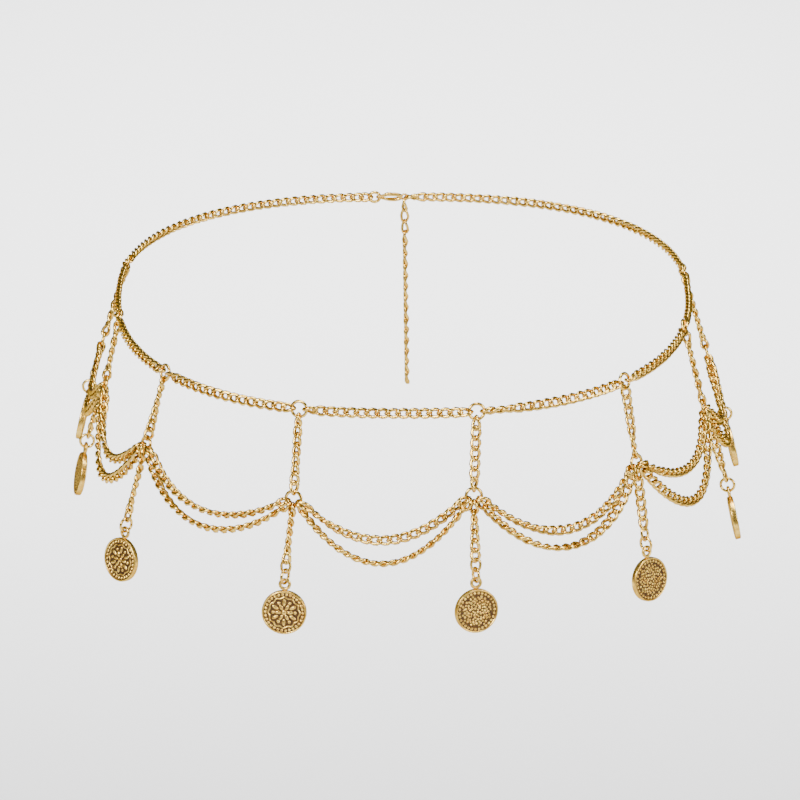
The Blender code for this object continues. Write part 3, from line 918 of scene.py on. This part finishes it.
class WAISTCHAIN_OT_jump_rings(Operator):
    """Builds the cut jump rings that the coins hang on"""

    bl_idname = "waist_chain.jump_rings"
    bl_label = "Build jump rings"

    def execute(self, context):
        for number in range(STRANDS):
            _, up, out = plumb_axes(number, JUMP_TURN_COLUMN)
            draft = Draft()
            add_ring(draft, skin(*jump_ring_place(number)), -out, up,
                     JUMP_RING_OUTER, JUMP_RING_WIRE, gap=JUMP_RING_CUT)
            make_piece(f"jump_ring_{number + 1}_wire", draft, chain_gold(context.scene),
                       f"jump_body_{number + 1}", [f"jump_ring_{number + 1}"])
        return {"FINISHED"}


def bumps(x, y, spots, radius, height):
    """Greatest of many round bumps: height times the root of one less the squared distance share."""
    near = ((x[..., None] - spots[:, 0]) ** 2 + (y[..., None] - spots[:, 1]) ** 2) / radius ** 2
    return height * np.sqrt(np.clip(1.0 - near, 0.0, None)).max(axis=-1)


def around(count, radius, shift=0.0):
    """Places of a number of bumps at equal steps round a circle."""
    turn = 2.0 * math.pi * (np.arange(count) + shift) / count
    return np.stack([radius * np.cos(turn), radius * np.sin(turn)], axis=1)


def grain_spots(count, seed):
    """Places of a coin's grains: at golden angles with radii as square roots, nudged a little."""
    number = np.arange(count) + 0.5
    spread = GRAIN_FIELD * np.sqrt(number / count)
    turn = number * math.pi * (3.0 - math.sqrt(5.0)) + seed
    chance = np.random.default_rng(seed)
    spots = np.stack([spread * np.cos(turn), spread * np.sin(turn)], axis=1)
    return spots + chance.uniform(-GRAIN_NUDGE, GRAIN_NUDGE, spots.shape)


def grained_relief(spots):
    """The relief of a field of grains, large and small in turn, as a function of the place."""
    def relief(x, y):
        return np.maximum(bumps(x, y, spots[::2], *LARGE_GRAIN), bumps(x, y, spots[1::2], *SMALL_GRAIN))
    return relief


def rosette_relief(x, y):
    """A rosette: a domed boss, two rows of almond petals, a wavy band and a ring of tip grains.

    A petal is the root of one less the squared share of its length and of its width.
    """
    radius = np.hypot(x, y)
    angle = np.arctan2(y, x)
    relief = ROSETTE_HEIGHT * np.sqrt(np.clip(1.0 - (radius / BOSS_RADIUS) ** 2, 0.0, None))
    for count, middle, half_length, half_width, shift in ROSETTE_PETALS:
        step = 2.0 * math.pi / count
        aside = (np.mod(angle + shift * step + 0.5 * step, step) - 0.5 * step) * radius
        share = ((radius - middle) / half_length) ** 2 + (aside / half_width) ** 2
        relief = np.maximum(relief, ROSETTE_HEIGHT * np.sqrt(np.clip(1.0 - share, 0.0, None)))
    wave = BAND_RADIUS + BAND_SWAY * np.cos(BAND_WAVES * angle)
    share = ((radius - wave) / BAND_HALF_WIDTH) ** 2
    relief = np.maximum(relief, BAND_HEIGHT * np.sqrt(np.clip(1.0 - share, 0.0, None)))
    return np.maximum(relief, bumps(x, y, around(TIP_GRAINS, TIP_GRAIN_PLACE), *TIP_GRAIN))


def coin_shell(coins, design, centre, axes, draft):
    """A struck coin as one turned grid: rows of the front, the rounded rim, then the back.

    The height of a face is its field plus its relief, and each face has a single middle point.
    """
    radius = coins.radius / MM
    half = coins.half_thickness / MM
    across, up, out = axes
    turn = 2.0 * math.pi * np.arange(COIN_SECTORS) / COIN_SECTORS
    field = np.linspace(FIELD_START, radius - COIN_EDGE[0][0] - FIELD_MARGIN, COIN_ROWS)
    x = field[:, None] * np.cos(turn)
    y = field[:, None] * np.sin(turn)
    beads = bumps(x, y, around(coins.border_beads, radius - BEAD_INSET), BEAD_RADIUS, BEAD_HEIGHT)
    relief = np.maximum(beads, design(x, y))
    floor = COIN_EDGE[0][1] * half
    face = floor + np.minimum(relief, half - floor)
    edge = np.array(COIN_EDGE)
    edge_reach = radius - edge[:, 0]
    edge_height = edge[:, 1] * half
    reach = np.concatenate([field, edge_reach, edge_reach[::-1], field[::-1]])
    flat_edge = np.repeat(edge_height[:, None], COIN_SECTORS, axis=1)
    height = np.concatenate([face, flat_edge, -flat_edge[::-1], -face[::-1]])
    edge_dark = np.clip((RIM_DARK_HEIGHT - edge[:, 1]) * RIM_DARK_SLOPE, 0.0, 1.0)
    edge_dark = edge_dark * (edge[:, 0] > RIM_DARK_INSET)
    face_dark = 1.0 - np.clip(relief / BRIGHT_RELIEF, 0.0, 1.0)
    dark = np.concatenate([face_dark, np.repeat(edge_dark[:, None], COIN_SECTORS, axis=1),
                           np.repeat(edge_dark[::-1, None], COIN_SECTORS, axis=1), face_dark[::-1]])
    spoke = np.cos(turn)[:, None] * across + np.sin(turn)[:, None] * up
    grid = centre + reach[:, None, None] * spoke + height[..., None] * out
    rows = len(reach)
    middle = min(floor + design(np.zeros((1, 1)), np.zeros((1, 1)))[0, 0], half)
    points = np.concatenate([grid.reshape(-1, 3), [centre + out * middle, centre - out * middle]])
    column = np.arange(COIN_SECTORS)
    after = (column + 1) % COIN_SECTORS
    row = np.arange(rows - 1)[:, None] * COIN_SECTORS
    quads = np.stack([row + column, row + after, row + COIN_SECTORS + after, row + COIN_SECTORS + column],
                     axis=-1).reshape(-1, 4)
    start = draft.count
    flip = draft.add(points - centre, quads, np.append(np.ravel(dark), [dark[0, 0], dark[0, 0]]))
    draft.points[-1] = points
    front = start + rows * COIN_SECTORS
    last = start + (rows - 1) * COIN_SECTORS
    fans = [np.stack([np.full_like(column, front), start + after, start + column], axis=1),
            np.stack([np.full_like(column, front + 1), last + column, last + after], axis=1)]
    for fan in fans:
        draft.faces.extend((fan[:, ::-1] if flip else fan).tolist())


class WAISTCHAIN_OT_coins(Operator):
    """Strikes the coins with their rims, beads, relief and cast loops"""

    bl_idname = "waist_chain.coins"
    bl_label = "Build coins"

    def execute(self, context):
        coins = context.scene.waist_coins
        for number in range(STRANDS):
            across, up, out = plumb_axes(number, COIN_TURN_COLUMN)
            hole_middle = 0.5 * JUMP_OUTER - JUMP_WIRE + 0.5 * LOOP_HOLE - RING_PLAY
            loop = skin(*jump_ring_place(number)) - up * hole_middle
            facet = math.cos(math.pi / SOLID_RING_SIDES)
            edge = math.cos(math.pi / SOLID_COIN_SIDES)
            fall = 0.5 * LOOP_OUTER * facet + LOOP_NECK + coins.radius / MM * edge
            centre = loop - up * fall
            design = grained_relief(grain_spots(coins.grains, number))
            if number in ROSETTE_STRANDS:
                design = rosette_relief
            draft = Draft()
            coin_shell(coins, design, centre, (across, up, out), draft)
            add_ring(draft, loop, across, up, LOOP_RING_OUTER, LOOP_WIRE)
            share = np.linspace(0.0, 1.0, NECK_STEPS)
            path = loop - up * (0.5 * LOOP_OUTER - NECK_SUNK + NECK_LENGTH * share[:, None])
            flare = NECK_WAIST + NECK_FLARE * (2.0 * share - 1.0) ** 2
            radii = np.stack([flare, np.full_like(share, NECK_DEPTH)], axis=1)
            grid = sweep(path, out, radii, RING_SIDES, closed=False)[0]
            draft.add_tubes(grid[None], np.zeros(grid.shape[:2]), closed=False)
            make_piece(f"coin_{number + 1}_struck", draft, coin_gold(context.scene),
                       f"coin_body_{number + 1}", [f"coin_{number + 1}"])
        return {"FINISHED"}


def claw_path(length, half_height, middle, axes):
    """The clasp's claw: a teardrop loop, long times the cosine and high times a skewed sine.

    Towards the nose the loop is twisted about its length, so that it threads the end ring.
    """
    along, down, out = axes
    turn = 2.0 * math.pi * np.arange(CLAW_STEPS) / CLAW_STEPS
    u = 0.5 * length * np.cos(turn)
    v = half_height * np.sin(turn) * (1.0 - CLAW_SKEW * np.cos(turn))
    twist = math.radians(CLAW_TWIST) * ease(2.0 * u / length)
    rise = v * np.cos(twist)
    depth = v * np.sin(twist)
    path = middle + u[:, None] * along + rise[:, None] * down + depth[:, None] * out
    flat = np.sin(twist)[:, None] * -down + np.cos(twist)[:, None] * out
    thick = CLAW_THIN + CLAW_SWELL * (1.0 - ease(1.4 * (0.5 + u / length) - 0.2))
    return path, flat, np.stack([thick, thick + CLAW_DEEPER], axis=1)


class WAISTCHAIN_OT_fastening(Operator):
    """Builds the end ring, the lobster clasp and the hanging extension chain"""

    bl_idname = "waist_chain.fastening"
    bl_label = "Build fastening"

    def execute(self, context):
        chain = context.scene.waist_chain
        gold = chain_gold(context.scene)
        along, down, _ = skin_frame(END_RING_ARC, 0.0)
        draft = Draft()
        add_ring(draft, skin(END_RING_ARC, 0.0), along, down,
                 END_RING_OUTER - JUMP_WIRE + END_RING_WIRE, END_RING_WIRE)
        make_piece("end_ring_wire", draft, gold, ROOT, ["end_ring"])

        axes = skin_frame(CLASP_EYE_ARC, 0.0)
        along, down, out = axes
        eye = skin(CLASP_EYE_ARC, 0.0)
        draft = Draft()
        add_ring(draft, eye, along, down, CLASP_EYE_OUTER, JUMP_WIRE)
        start = CLASP_EYE_ARC + 0.5 * CLASP_EYE_OUTER - CLAW_OVERLAP
        nose = END_RING_ARC - 0.5 * END_RING_OUTER + JUMP_WIRE + NOSE_PAST_RING
        middle = skin(0.5 * (start + nose), 0.0)
        path, flat, radii = claw_path(nose - start, CLAW_HALF_HEIGHT, middle, axes)
        # Painted shade on the inner side of the claw's loop
        grid, inner_shade = sweep(path, flat, radii, CLAW_SIDES)
        draft.add_tubes(grid[None], inner_shade[None])
        share = np.linspace(0.0, 1.0, LEVER_STEPS)[:, None]
        arch = np.sin(math.pi * share)
        lever = (middle + along * (LEVER_START + LEVER_LENGTH * share)
                 - down * (LEVER_RISE + LEVER_ARCH * arch))
        thick = LEVER_THIN + LEVER_SWELL * arch
        radii = np.concatenate([thick, thick + LEVER_DEEPER], axis=1)
        grid = sweep(lever, out, radii, CLAW_SIDES, closed=False)[0]
        draft.add_tubes(grid[None], np.zeros(grid.shape[:2]), closed=False)
        make_piece("lobster_clasp", draft, gold, ROOT, ["clasp"])

        draft = Draft()
        hook = 0.5 * CLASP_EYE_OUTER - JUMP_WIRE - TAIL_HOOK_PLAY
        arcs = np.linspace(CLASP_EYE_ARC, TAIL_END_ARC, CHAIN_STEPS)
        drops = np.linspace(hook, TAIL_END_DROP, CHAIN_STEPS)
        sizes = (chain.tail_wire / MM, chain.link_width / MM * TAIL_WIDTH_SHARE, chain.link_pitch / MM)
        lay_links(draft, hip_line(arcs, drops), sizes,
                  turned(TAIL_START_TURN, TAIL_TURNS, TAIL_END_TURN), TAIL_SEED, links=TAIL_LINKS)
        make_piece("extension_links", draft, gold, ROOT, ["tail"])
        return {"FINISHED"}


def add_lamp(name, place, target, power, width, height, mirrored=True):
    """An area lamp that faces a target; mirrored says whether the metal shows it."""
    lamp = bpy.data.lights.new(name, "AREA")
    lamp.shape = "RECTANGLE"
    lamp.size = width
    lamp.size_y = height
    lamp.energy = power
    thing = bpy.data.objects.new(name, lamp)
    thing.location = place
    thing.visible_glossy = mirrored
    thing.rotation_euler = (Vector(target) - Vector(place)).to_track_quat("-Z", "Y").to_euler()
    bpy.context.scene.collection.objects.link(thing)


class WAISTCHAIN_OT_stage(Operator):
    """Sets the pale floor, the soft lamps, the sky and the camera"""

    bl_idname = "waist_chain.stage"
    bl_label = "Build stage"

    def execute(self, context):
        scene = context.scene
        stage = scene.waist_stage
        reach = FLOOR_REACH
        mesh = bpy.data.meshes.new("floor")
        corners = [(-reach, -reach, stage.floor_height), (reach, -reach, stage.floor_height),
                   (reach, reach, stage.floor_height), (-reach, reach, stage.floor_height)]
        mesh.from_pydata(corners, [], [(0, 1, 2, 3)])
        paint = bpy.data.materials.new("pale_floor")
        paint.use_nodes = True
        shader = paint.node_tree.nodes["Principled BSDF"]
        shader.inputs["Base Color"].default_value = (*stage.floor_colour, 1.0)
        shader.inputs["Roughness"].default_value = 0.9
        mesh.materials.append(paint)
        floor = bpy.data.objects.new("floor", mesh)
        scene.collection.objects.link(floor)

        world = bpy.data.worlds.new("soft_sky")
        world.use_nodes = True
        world.node_tree.nodes["Background"].inputs["Color"].default_value = (*SKY_COLOUR, 1.0)
        world.node_tree.nodes["Background"].inputs["Strength"].default_value = SKY_STRENGTH
        scene.world = world

        for name, place, share, width, height in LAMPS:
            add_lamp(name, place, LAMP_TARGET, share * stage.key_power, width, height)
        for x, y, share in FLOOR_LAMPS:
            add_lamp("floor_lamp", (x, y, FLOOR_LAMP_HEIGHT), (x, y, stage.floor_height),
                     share * stage.floor_power, FLOOR_LAMP_WIDTH, FLOOR_LAMP_DEPTH, mirrored=False)
        sun = bpy.data.lights.new("floor_sun", "SUN")
        sun.energy = stage.sun_strength
        sun.angle = SUN_ANGLE
        sunlight = bpy.data.objects.new("floor_sun", sun)
        sunlight.visible_glossy = False
        scene.collection.objects.link(sunlight)

        tilt = stage.elevation
        forward = Vector((0.0, math.cos(tilt), -math.sin(tilt)))
        camera = bpy.data.cameras.new("photo_camera")
        camera.sensor_width = SENSOR
        camera.lens = PHOTO_FOCAL / PHOTO_SIZE * SENSOR
        camera.clip_end = CLIP_END
        viewer = bpy.data.objects.new("photo_camera", camera)
        viewer.location = AIM - forward * stage.distance
        viewer.rotation_euler = (0.5 * math.pi - tilt, 0.0, 0.0)
        scene.collection.objects.link(viewer)
        scene.camera = viewer
        return {"FINISHED"}


class WAISTCHAIN_PT_panel(Panel):
    """Lists the settings and the builders of the waist chain"""

    bl_idname = "WAISTCHAIN_PT_panel"
    bl_label = "Waist Chain"
    bl_space_type = "VIEW_3D"
    bl_region_type = "UI"
    bl_category = "Waist Chain"

    def draw(self, context):
        layout = self.layout
        groups = (context.scene.waist_chain, context.scene.waist_coins, context.scene.waist_stage)
        for group in groups:
            box = layout.box()
            for name in group.__annotations__:
                box.prop(group, name)
        for operator in BUILDERS:
            layout.operator(operator.bl_idname)


BUILDERS = (
    WAISTCHAIN_OT_belt,
    WAISTCHAIN_OT_hangers,
    WAISTCHAIN_OT_drops,
    WAISTCHAIN_OT_swags,
    WAISTCHAIN_OT_jump_rings,
    WAISTCHAIN_OT_coins,
    WAISTCHAIN_OT_fastening,
    WAISTCHAIN_OT_stage,
)
CLASSES = (ChainSettings, CoinSettings, StageSettings, *BUILDERS, WAISTCHAIN_PT_panel)


def register():
    """Registers the classes and puts their settings on the scene."""
    for thing in CLASSES:
        bpy.utils.register_class(thing)
    bpy.types.Scene.waist_chain = PointerProperty(type=ChainSettings)
    bpy.types.Scene.waist_coins = PointerProperty(type=CoinSettings)
    bpy.types.Scene.waist_stage = PointerProperty(type=StageSettings)


def unregister():
    """Takes the settings off the scene and unregisters the classes."""
    del bpy.types.Scene.waist_stage
    del bpy.types.Scene.waist_coins
    del bpy.types.Scene.waist_chain
    for thing in reversed(CLASSES):
        bpy.utils.unregister_class(thing)


def main():
    """Registers the classes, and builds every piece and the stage."""
    register()
    for operator in BUILDERS:
        group, name = operator.bl_idname.split(".")
        getattr(getattr(bpy.ops, group), name)()


if __name__ == "__main__":
    main()
